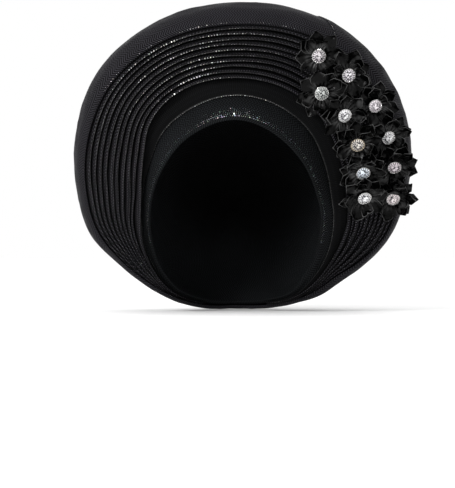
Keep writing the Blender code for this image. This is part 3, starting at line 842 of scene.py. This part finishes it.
def fan_point(angle, share, height):
    """A point of the fan's front at a share of its width and a height over its base."""
    ring = rings(angle)
    (start_r, start_y), (end_r, end_y) = ring["fan_back"], ring["fan_end"]
    swell = BAND_SWELL * (end_r - start_r) * arch(share)
    depth = between(start_y, end_y, share) - swell - FAN_WALL * ring["lean"] - height
    return place(angle, between(start_r, end_r, share), depth)


def pleat_point(angle, pleat, across, height, lift=0.0):
    """A point at a share across a pleat and a share of its height."""
    share = between(pleat_edge(angle, pleat), pleat_edge(angle, pleat + 1), across)
    return fan_point(angle, share, height * pleat_rise(angle, pleat) + lift)


def pleat_rise(angle, pleat):
    ring = rings(angle)
    pitch = (ring["fan_end"][0] - ring["fan_back"][0]) / PLEAT_COUNT
    joined_up = paired(angle)
    share = 1 - joined_up * 0.9 if pleat % 2 else 1 + joined_up
    soft = 1 - 0.2 * bump_at(angle, *SOFT_PLEATS)
    uneven = 1 + unevenness(angle, pleat, PLEAT_HEIGHTS)
    return min(PLEAT_RISE, PLEAT_MOST_RISE * pitch * share) * soft * uneven


def fan_tuck(angle):
    """Where the fan ends under the hood."""
    ring = rings(angle)
    end_r = ring["fan_end"][0]
    under_hood = hood_form(angle, -70)
    hidden = HOOD_TUCK * (ring["rim"][0] - end_r) / HOOD_WIDTH
    point = place(angle, end_r, under_hood.y).lerp(under_hood, hidden)
    point.y += 1.5 * HOOD_WALL + LAYER_GAP * ring["lean"]
    return point


def make_fan(material):
    """The pleated fan: each pleat's rolled edge faces inwards and laps over the pleat inside it."""
    angles = steps(*FAN_ENDS, FAN_POINTS)
    rows = [[fan_point(a, 0.0, -0.9 * FAN_WALL) for a in angles]]
    for pleat in range(PLEAT_COUNT):
        for across, height, _, _ in PLEAT_SHAPE:
            rows.append([pleat_point(a, pleat, across, height) for a in angles])
    rows.append([fan_point(a, 1.0, 0.0) for a in angles])
    rows.append([fan_tuck(a) for a in angles])
    # painted shade: dark deep between pleats, under the first roll and at the tuck, and darker still over the
    # top
    deep = [0.9] + [row[2] for row in PLEAT_SHAPE] * PLEAT_COUNT + [0.9, 0.9]
    edge = [0.0] + [row[3] for row in PLEAT_SHAPE] * PLEAT_COUNT + [0.0, 0.0]
    darker = [0.38 * bump_at(a, *DEEPER_HOLLOW_SHADE) for a in angles]
    # the pale edge thread with its painted highlight, strongest high on the wearer's right
    threads = [0.05 + 0.72 * bump_at(a, *PLEAT_EDGE_THREAD_AND_HIGHLIGHT) for a in angles]
    marks = {
        "hollow": [[min(1.0, value + more) for more in darker] for value in deep],
        "edge": [[value * thread for thread in threads] for value in edge],
    }
    return cloth_grid("fan_of_pleats", rows, material, FAN_CLOTH, u_row=40, marks=marks)


# The rolled hood and its lapped end


def hood_form(angle, turn):
    """The hood's smooth form. turn runs from -90 at the folded edge over 0 at the rim to 90 behind."""
    ring = rings(angle)
    (edge_r, edge_y), (rim_r, rim_y) = ring["hood"], ring["rim"]
    step = math.radians(abs(turn))
    if turn <= 0:
        return place(angle, between(edge_r, rim_r, math.cos(step)), between(rim_y, edge_y, math.sin(step)))
    power = 2 / BACK_FULLNESS
    keep, gone = math.cos(step) ** power, math.sin(step) ** power
    top = (1 + math.sin(math.radians(angle))) / 2
    point = NAPE_GATHER + (place(angle, rim_r, rim_y) - NAPE_GATHER) * keep
    point.y = between(rim_y, NAPE_GATHER.y, gone) + BACK_PUFF * top * arch(keep)
    return point


def hood_relief(angle, turn):
    """Height of the hood's folds over its smooth form: gathers behind, dents on top, and pulled cloth."""
    behind = math.sin(math.radians(max(turn, 0) * 2)) ** 2
    bend = unevenness(angle, turn, GATHER_BEND)
    broad = math.cos(math.radians(angle * GATHER_COUNT + bend * 6))
    narrow = math.cos(math.radians(angle * FINE_GATHER_COUNT + bend * 20))
    folds = GATHER_RISE * behind * (broad + 0.5 * narrow)
    top = bump_at(angle, *TOP_DENTS) * bump_at(turn, -25, 70)
    folds += top * unevenness(angle, turn, HOOD_DENTS)
    folds += unevenness(angle, turn, HOOD_CREASES) * bump_at(turn, -20, 90)
    pulled = bump_at(angle, *PULLED_CLOTH) * bump_at(turn, -30, 75)
    folds += PULL_RISE * pulled * math.cos(math.radians(angle * PULL_COUNT + turn * PULL_SLANT))
    return folds * (1 - 0.88 * bump_at(turn, 3, 38))


def hood_point(angle, turn, lift=0.0):
    here = hood_form(angle, turn)
    side = hood_form(angle + 0.5, turn) - here
    ahead = hood_form(angle, turn + 0.5) - here
    normal = side.cross(ahead).normalized() * -1
    return here + normal * (hood_relief(angle, turn) + lift)


def hood_edge_point(angle, out, back):
    ring = rings(angle)
    share = (ring["rim"][0] - ring["hood"][0]) / HOOD_WIDTH
    return hood_form(angle, -90) + Vector((0, back * HOOD_WALL, 0)) + outward(angle) * out * share


def make_hood(material):
    """The last layer of cloth: a turned-under edge, the band round the fan, the rim and the gathered back."""
    angles = all_round(HOOD_POINTS)
    rows = [[hood_edge_point(a, out, back) for a in angles] for out, back in HOOD_EDGE]
    for turn in steps(-89, -4, 16) + steps(2, 78, 34):
        rows.append([hood_point(a, turn) for a in angles])
    return cloth_grid("rolled_hood", rows, material, HOOD_CLOTH, NAPE_GATHER, u_row=20)


def lap_edge(turn):
    """Angle of the free edge of the cloth's end, which laps over the hood at the top left of the wearer."""
    return 57.5 + 8.5 * ease((turn + 75) / 85) + 5 * ease((turn - 10) / 60)


def make_lap(material):
    """The end of the hood's cloth, lapped over it from behind the flowers."""
    rows = []
    for turn in steps(-88, 66, 44):
        first, last = lap_edge(turn), -6 + 14 * ease(turn / 60)
        row = []
        for share in steps(0.0, 1.0, LAP_POINTS):
            lift = LAP_LIFT * ease(share * 60) + 0.0002 - LAP_LIFT * ease((share - 0.75) / 0.25)
            lift -= 0.0007 * ease((turn - 52) / 14)
            row.append(hood_point(between(first, last, share**1.25), turn, lift))
        rows.append(row[::-1])
    return cloth_grid("hood_lap", rows, material, LAP_CLOTH, u_row=14)


# Trees that set out beads and petals


def new_tree(name, **inputs):
    """A geometry tree with named inputs: its graph, and a wire from each input."""
    tree = bpy.data.node_groups.new(name, "GeometryNodeTree")
    inputs = {"Geometry": "Geometry", **inputs, "Seed": "Int", "Finish": "Material"}
    for input_name, kind in inputs.items():
        tree.interface.new_socket(input_name, in_out="INPUT", socket_type="NodeSocket" + kind)
    tree.interface.new_socket("Geometry", in_out="OUTPUT", socket_type="NodeSocketGeometry")
    graph = Graph(tree)
    given = tree.nodes.new("NodeGroupInput")
    return graph, {socket.name: Wire(graph, socket) for socket in given.outputs if socket.name}


def chance(graph, seed, least, most):
    inputs = {RANDOM_LEAST: least, RANDOM_MOST: most, "Seed": seed}
    return graph.node("FunctionNodeRandomValue", {"data_type": "FLOAT"}, inputs, RANDOM_NUMBER)


def set_out(graph, points, copy, rotation, scale, finish):
    """Ends a tree: a copy on every point, made real and given its material."""
    inputs = {"Points": points, "Instance": copy, "Rotation": rotation, "Scale": scale}
    placed = graph.node("GeometryNodeInstanceOnPoints", {}, inputs)
    real = graph.node("GeometryNodeRealizeInstances", {}, {"Geometry": placed})
    done = graph.node("GeometryNodeSetMaterial", {}, {"Geometry": real, "Material": finish})
    result = graph.tree.nodes.new("NodeGroupOutput")
    graph.fill(result, {0: done})
    return graph.tree


def bead_tree():
    """Beads of random size and turn at even steps along a line of points."""
    graph, given = new_tree(
        "beads_along", Step="Float", Radius="Float", Flatness="Float", Least="Float", Most="Float"
    )
    line = graph.node("GeometryNodeMeshToCurve", {}, {"Mesh": given["Geometry"]})
    resampled = {"Curve": line, "Length": given["Step"]}
    even = graph.node("GeometryNodeResampleCurve", {"mode": "LENGTH"}, resampled)
    bead = graph.node("GeometryNodeMeshIcoSphere", {}, {"Radius": given["Radius"], "Subdivisions": 1})
    size = graph.node("GeometryNodeInputNamedAttribute", {"data_type": "FLOAT"}, {"Name": "size"})
    whole = size * chance(graph, given["Seed"], given["Least"], given["Most"])
    any_way = {0: (0.0, 0.0, 0.0), 1: (6.28, 6.28, 6.28), "Seed": given["Seed"] + 7}
    turn = graph.node("FunctionNodeRandomValue", {"data_type": "FLOAT_VECTOR"}, any_way)
    scale = graph.node("ShaderNodeCombineXYZ", {}, {0: whole, 1: whole, 2: whole * given["Flatness"]})
    return set_out(graph, even, bead, turn, scale, given["Finish"])


def petal_ring_tree():
    """Copies of a petal round Z, each with its own tilt, turn and length."""
    graph, given = new_tree(
        "petals_round", Petals="Int", Tilt="Float", Scatter="Float", Length="Float", Start="Float"
    )
    dots = graph.node("GeometryNodePoints", {}, {"Count": given["Petals"]})
    index = graph.node("GeometryNodeInputIndex", {}, {})

    def varied(number, least, most):
        return chance(graph, given["Seed"] + number, least, most)

    def scattered(number):
        return varied(number, -1.0, 1.0) * given["Scatter"]

    round_z = index / given["Petals"] * (2 * math.pi) + given["Start"] + scattered(1)
    tilt = given["Tilt"] + scattered(2)
    rotation = graph.node("ShaderNodeCombineXYZ", {}, {0: scattered(3), 1: tilt * -1.0, 2: round_z})
    length = given["Length"] * varied(4, 0.90, 1.06)
    scale = graph.node("ShaderNodeCombineXYZ", {}, {0: length, 1: varied(5, 0.9, 1.1), 2: 1.0})
    return set_out(graph, dots, given["Geometry"], rotation, scale, given["Finish"])


def run_tree(piece, tree, **inputs):
    """Puts a tree on the piece, sets its inputs by their identifiers and bakes the result."""
    modifier = piece.modifiers.new(tree.name, "NODES")
    modifier.node_group = tree
    for item in tree.interface.items_tree:
        if item.in_out == "INPUT" and item.name in inputs:
            modifier[item.identifier] = inputs[item.name]
    return baked(piece)


# Glitter thread and sequins


def lines_piece(name, lines):
    """An object of bare lines; every point has a size for what sits on it."""
    vertices, edges, sizes = [], [], []
    for line in lines:
        first = len(vertices)
        for point, size in line:
            vertices.append(tuple(point))
            sizes.append(size)
        edges += [(i, i + 1) for i in range(first, len(vertices) - 1)]
    mesh = bpy.data.meshes.new(name)
    mesh.from_pydata(vertices, edges, [])
    mark_points(mesh, "size", sizes)
    return linked(name, mesh)


def glitter_share(angle, pleat):
    """How much the glitter thread shows along a pleat: most at the upper right of the wearer."""
    strong = bump_at(angle, *THICK_GLITTER) + 0.38 * bump_at(angle, *THIN_GLITTER) + 0.12
    patchy = 0.6 + unevenness(angle, pleat, GLITTER_PATCHES)
    return max(0.10, min(1.3, strong * patchy))


def make_pleat_glitter(tree, material):
    """Glitter thread along the edge of every pleat and of the hood."""
    angles = steps(FAN_ENDS[0] + 4, FAN_ENDS[1] - 4, 260)
    lines = []
    for pleat in range(PLEAT_COUNT):
        edge = [pleat_point(a, pleat, 0.02, 0.93, lift=0.0001) for a in angles]
        lines.append([(point, glitter_share(a, pleat)) for a, point in zip(angles, edge)])
    on_hood = Vector((0, -0.0003, 0))
    lines.append([(hood_form(a, -88) + on_hood, glitter_share(a, PLEAT_COUNT)) for a in angles])
    return run_tree(
        lines_piece("pleat_glitter", lines), tree, Step=0.0023, Radius=0.00052, Flatness=0.8,
        Least=0.05, Most=1.45, Seed=3, Finish=material,
    )


def make_edge_glitter(tree, material):
    """Glitter thread along the fold's edge and the free edge of the hood's lapped end."""
    on_fold = []
    for a in steps(-40, 222, 220):
        edge_r, edge_y = rings(a)["fold_edge"]
        on_fold.append((place(a, edge_r - 0.0002, edge_y - 0.0001), 0.12 + 0.8 * bump_at(a, *FOLD_GLITTER)))
    on_lap = [(hood_point(lap_edge(turn), turn, 0.0010), 0.5) for turn in steps(-80, 20, 40)]
    return run_tree(
        lines_piece("edge_glitter", [on_fold, on_lap]), tree, Step=0.0019, Radius=0.00042, Flatness=0.7,
        Least=0.35, Most=1.15, Seed=11, Finish=material,
    )


def sequin_share(angle, row):
    """How large the sequins of a row are: largest over the forehead and next to the face."""
    forehead = 1.3 * bump_at(angle, SEQUINS_MIDDLE, SEQUINS_REACH - row * 4) * (1.0 - 0.13 * row)
    patchy = 0.7 + unevenness(angle, row, SEQUIN_PATCHES)
    return max(0.12, (forehead + (0.45 if row < 2 else 0.0)) * patchy)


def make_brow_sequins(tree, material):
    """Five rows of tiny sequins along the face opening."""
    angles = steps(-30, 210, 220)
    lines = []
    for row in range(5):
        share = 0.11 + 0.08 * row
        lines.append([(brow_point(a, share, lift=0.0003), sequin_share(a, row)) for a in angles])
    return run_tree(
        lines_piece("brow_sequins", lines), tree, Step=0.0017, Radius=0.00048, Flatness=0.6,
        Least=0.3, Most=1.3, Seed=21, Finish=material,
    )


# Ribbon flowers


def petal_piece(kind, material):
    """One ribbon petal along +X: narrow and gathered at the root, then straight sides and a pointed tip."""
    half_width, cup, rise, curl, twist, pleats = PETALS[kind]
    vertices, uvs, edge = [], [], []
    for t in PETAL_ALONG:
        free = max(0.0, (t - UNDER_STONE) / (1 - UNDER_STONE))
        pointed = max(0.0, (t - PETAL_SHOULDER) / (1 - PETAL_SHOULDER))
        width = half_width * between(PETAL_ROOT_WIDTH, 1, ease((t - 0.05) / 0.55))
        width *= between(1, PETAL_TIP_WIDTH, pointed)
        for s in PETAL_ACROSS:
            bowl = cup * s * s * arch(min(free * 0.85, 1))
            folds = pleats * math.cos(s * PETAL_PLEATS) * (1 - ease(t / 0.85))
            spine = PETAL_SPINE * (1 - min(abs(s) * 2.5, 1)) * ease(free * 2)
            x = FLOWER_RADIUS * t - 0.4 * rise * free**2 - curl * free**3
            z = bowl + folds - spine + rise * free**1.4 - 0.4 * curl * free**5 + twist * free * s * width
            vertices.append((x, s * width, z))
            uvs.append((FLOWER_RADIUS * t, s * width))
            # painted highlight along the ridges of the root pleats; the outline keeps its pale melted edge
            crease = 0.6 * max(0.0, math.cos(s * PETAL_PLEATS)) * (1 - ease((t - 0.3) / 0.35))
            edge.append(1.0 if abs(s) == 1.0 or t == 1.0 else crease)
    faces = grid_faces(len(PETAL_ALONG), len(PETAL_ACROSS))
    petal = new_piece(f"petal_{kind}", vertices, faces, material, crease=35)
    layer = petal.data.uv_layers.new(name=CLOTH_MAP)
    for loop in petal.data.loops:
        layer.data[loop.index].uv = uvs[loop.vertex_index]
    mark_points(petal.data, "edge", edge)
    return petal


def flower_frame(number):
    """Where a flower sits: Z along its axis, origin under the middle of its stone."""
    flower = FLOWERS[number - 1]
    lean, heading = math.radians(flower.lean), math.radians(flower.heading)
    axis = Vector((math.sin(lean) * math.cos(heading), -math.cos(lean), math.sin(lean) * math.sin(heading)))
    side = Vector((0, 0, 1)).cross(axis).normalized()
    facing = Matrix((side, axis.cross(side), axis)).transposed().to_4x4()
    facing = facing @ Matrix.Rotation(math.radians(flower.turn), 4, "Z")
    solid_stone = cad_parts[f"stone_{number:02d}"].data
    corners = {tuple(round(c, 6) for c in v.co) for v in solid_stone.vertices}
    middle = sum((Vector(c) for c in corners), Vector()) / len(corners)
    return Matrix.Translation(middle - axis * STONE_MIDDLE) @ facing


def make_flower(number, tree, material):
    """A ribbon flower: a ring of open petals, some raised ones over them and here and there a curled one."""
    luck = random.Random(FLOWER_SEED + number)
    flower = FLOWERS[number - 1]
    rings_of_petals = (  # kind, count, tilt, scatter, length and where the ring starts
        ("open", OPEN_PETALS, 0.04, 0.07, 1.0, 0.0),
        ("raised", flower.raised, 0.02, 0.16, 0.98, luck.uniform(0, 6)),
        ("curled", flower.curled, 0.02, 0.20, 0.90, luck.uniform(0, 6)),
    )
    parts = []
    for kind, count, tilt, scatter, length, start in rings_of_petals:
        parts.append(run_tree(
            petal_piece(kind, material), tree, Petals=count, Tilt=tilt, Scatter=scatter, Length=length,
            Start=start, Seed=luck.randrange(1000), Finish=material,
        ))
    piece = joined(f"ribbon_flower_{number:02d}", parts)
    piece.data.transform(flower_frame(number))
    return onto_root(with_wall(piece, RIBBON_WALL, 0), "ribbon_satin", f"flower_{number:02d}")


# Stones and settings


def turned_ring(form, count, radius, height, shift=0.0):
    """Corners evenly round Z, turned by a share of a step. The height is from the girdle."""
    corners = []
    for i in range(count):
        turn = 2 * math.pi * (i + shift) / count
        corner = (radius * math.cos(turn), radius * math.sin(turn), GIRDLE_HEIGHT + height)
        corners.append(form.verts.new(corner))
    return corners


def stone_mesh(name):
    """A round brilliant with a flat base; four rim facets go with each side of its table."""
    form = bmesh.new()
    middle = form.verts.new((0, 0, GIRDLE_HEIGHT + TABLE_RISE))
    table = turned_ring(form, TABLE_SIDES, TABLE_RADIUS, TABLE_RISE)
    stars = turned_ring(form, TABLE_SIDES, STAR_RADIUS, STAR_RISE, shift=0.5)
    mains = turned_ring(form, RIM_FACETS, MAIN_RADIUS, MAIN_RISE)
    girdle = turned_ring(form, RIM_FACETS, STONE_RADIUS, 0.0)
    facets = []
    for i in range(TABLE_SIDES):
        after, m = (i + 1) % TABLE_SIDES, 4 * i
        facets += [
            (middle, table[i], table[after]),
            (table[i], stars[i], table[after]),
            (stars[i - 1], stars[i], table[i]),
            (stars[i - 1], mains[m - 2], mains[m - 1]),
            (stars[i - 1], mains[m - 1], mains[m]),
            (stars[i - 1], mains[m], stars[i]),
            (stars[i], mains[m], mains[m + 1]),
            (stars[i], mains[m + 1], mains[m + 2]),
        ]
    for i in range(RIM_FACETS):
        after = (i + 1) % RIM_FACETS
        facets += [(mains[i], girdle[i], girdle[after]), (mains[i], girdle[after], mains[after])]
    for corners in facets + [girdle[::-1]]:
        form.faces.new(corners)
    bmesh.ops.recalc_face_normals(form, faces=form.faces)
    return mesh_from(form, name)


def make_stone(number, crystal):
    """A cut stone whose table shows the wedges of its back, each of its facets with its own painted
    reflection tone.
    """
    luck = random.Random(STONE_SEED + number)
    mesh = stone_mesh(f"cut_stone_{number:02d}")
    # painted reflections: a bright rim with darker ticks, and bright and dark facets at random inside
    painted_reflections, tick = [], luck.choice(TICK_REFLECTION_TONES)
    for face in mesh.polygons:
        out = face.center.xy.length / STONE_RADIUS
        if out > 0.78:
            turn = math.atan2(face.center.y, face.center.x) / (2 * math.pi)
            painted_reflections.append(tick if int((turn + 1) * RIM_FACETS) % 2 else 1.0)
        else:
            painted_reflections.append(luck.choice(INNER_REFLECTION_TONES if out < 0.45 else MIDDLE_REFLECTION_TONES))
    mesh.attributes.new("facet", "FLOAT", "FACE").data.foreach_set("value", painted_reflections)
    mesh.materials.append(crystal)
    mesh.transform(flower_frame(number))
    # the stone's tint, which also dims the painted reflections of some stones
    tinted(mesh, FLOWERS[number - 1].tint)
    return onto_root(linked(mesh.name, mesh), "crystal", f"stone_{number:02d}")


def bead_ring(number, metal, tree, where):
    """The ring of small beads that holds the edge of a stone."""
    ring = []
    for i in range(1, 2 * RIM_FACETS + 2):
        turn = i * math.pi / RIM_FACETS
        point = (SETTING_RADIUS * math.cos(turn), SETTING_RADIUS * math.sin(turn), GIRDLE_HEIGHT + BEADS_RISE)
        ring.append((where @ Vector(point), 1.0))
    return run_tree(
        lines_piece("beads_of_setting", [ring]), tree, Step=2 * math.pi * SETTING_RADIUS / RIM_FACETS,
        Radius=BEAD_RADIUS, Flatness=1.0, Least=0.9, Most=1.1, Seed=number, Finish=metal,
    )


def cup_piece(metal, where):
    """The dish under a stone, with a flared wall."""
    form = bmesh.new()
    loops = [turned_ring(form, CUP_SIDES, radius, height) for radius, height in CUP_PROFILE]
    for inner, outer in zip(loops, loops[1:]):
        for j in range(CUP_SIDES):
            k = (j + 1) % CUP_SIDES
            form.faces.new((inner[j], inner[k], outer[k], outer[j]))
    bmesh.ops.remove_doubles(form, verts=form.verts, dist=1e-6)
    bmesh.ops.recalc_face_normals(form, faces=form.faces)
    mesh = mesh_from(form, "cup")
    mesh.transform(where)
    mesh.shade_smooth()
    mesh.materials.append(metal)
    return linked("cup", mesh)


def make_setting(number, metal, tree):
    """The cup under a stone, darker than its beads with painted shade, and the ring of beads."""
    where = flower_frame(number)
    plating = GOLD_TONED.get(number, SILVER_TINT)
    beads, cup = bead_ring(number, metal, tree, where), cup_piece(metal, where)
    tinted(beads.data, plating)
    # painted shade on the cup under the stone
    tinted(cup.data, [CUP_PAINTED_SHADE * part for part in plating])
    setting = joined(f"stone_setting_{number:02d}", [beads, cup])
    return onto_root(setting, "silver_cup", f"stone_cup_{number:02d}")


# Stage


def make_stage():
    scene = bpy.context.scene
    camera = linked("camera", bpy.data.cameras.new("camera"))
    camera.location = CAMERA_PLACE
    camera.rotation_euler = (math.pi / 2, 0, 0)
    camera.data.sensor_fit = "HORIZONTAL"
    camera.data.angle = 2 * math.atan(VIEW_WIDTH / 2 / VIEW_DISTANCE)
    scene.camera = camera
    scene.view_settings.view_transform = "Standard"
    floor_height = cad_box[0][2] - FLOOR_GAP
    sides = ((-1, -1), (1, -1), (1, 1), (-1, 1))
    corners = [(x * FLOOR_HALF, y * FLOOR_HALF, floor_height) for x, y in sides]
    floor = new_piece("floor", corners, [(0, 1, 2, 3)], floor_paint())
    world = bpy.data.worlds.new("studio")
    world.use_nodes = True
    background = {"Color": grey(1.0), "Strength": 1.0}
    Graph(world.node_tree).fill(world.node_tree.nodes["Background"], background)
    scene.world = world
    for name, lamp_place, size, power in LAMPS:
        light = bpy.data.lights.new(name, "AREA")
        light.energy = power
        light.size = size
        lamp = linked(name, light)
        lamp.location = lamp_place
        lamp.rotation_euler = (LAMP_AIM - Vector(lamp_place)).to_track_quat("-Z", "Y").to_euler()


make_stage()
cap_cloth = woven_cloth(
    "cap_weave", dark=0.0018, light=0.0185, tint=(0.9, 1.0, 1.1), rib_pitch=0.0024, zigzag_width=0.007,
    slant=0.8, crispness=1.7, roughness=0.5, braid=0.3,
)
fold_cloth = woven_cloth(
    "fold_weave", dark=0.0022, light=0.0075, tint=(0.95, 1.0, 1.1), rib_pitch=0.0014, zigzag_width=0.004,
    slant=0.25, crispness=1.5, roughness=0.5, braid=0.6,
)
fan_cloth = woven_cloth(
    "fan_weave", dark=0.0006, light=0.100, tint=(1.0, 0.96, 1.12), rib_pitch=0.0024, zigzag_width=0.0075,
    slant=0.55, crispness=3.0, roughness=0.42, braid=1.0,
)
hood_cloth = woven_cloth(
    "hood_weave", dark=0.0016, light=0.034, tint=(0.98, 0.94, 1.1), rib_pitch=0.0024, zigzag_width=0.0085,
    slant=0.9, crispness=1.7, roughness=0.45,
)
satin = satin_ribbon()
bright_glitter = glitter("glitter_thread", brightness=0.75, tint=(1.0, 0.99, 0.97), spread=0.12)
sequin_film = glitter("sequin_film", brightness=0.45, tint=(0.86, 0.98, 1.0), spread=0.22)
crystal = cut_crystal()
silver = plated_metal()

cap = onto_root(make_cap(cap_cloth), "cap_cloth", "head_cap")
fold = onto_root(make_fold(fold_cloth), "fold_cloth", "front_fold")
fan = onto_root(make_fan(fan_cloth), "fan_cloth", "pleated_fan")
hood = onto_root(make_hood(hood_cloth), "hood_cloth", "outer_hood")
lap = onto_root(make_lap(hood_cloth), "hood_cloth")

beads = bead_tree()
pleat_glitter = onto_root(make_pleat_glitter(beads, bright_glitter), "fan_cloth")
edge_glitter = onto_root(make_edge_glitter(beads, bright_glitter), "fan_cloth")
brow_sequins = onto_root(make_brow_sequins(beads, sequin_film), "cap_cloth")

petal_ring = petal_ring_tree()
for number, flower in enumerate(FLOWERS, start=1):
    flower_piece = make_flower(number, petal_ring, satin)
    make_setting(number, silver, beads)
    make_stone(number, crystal)
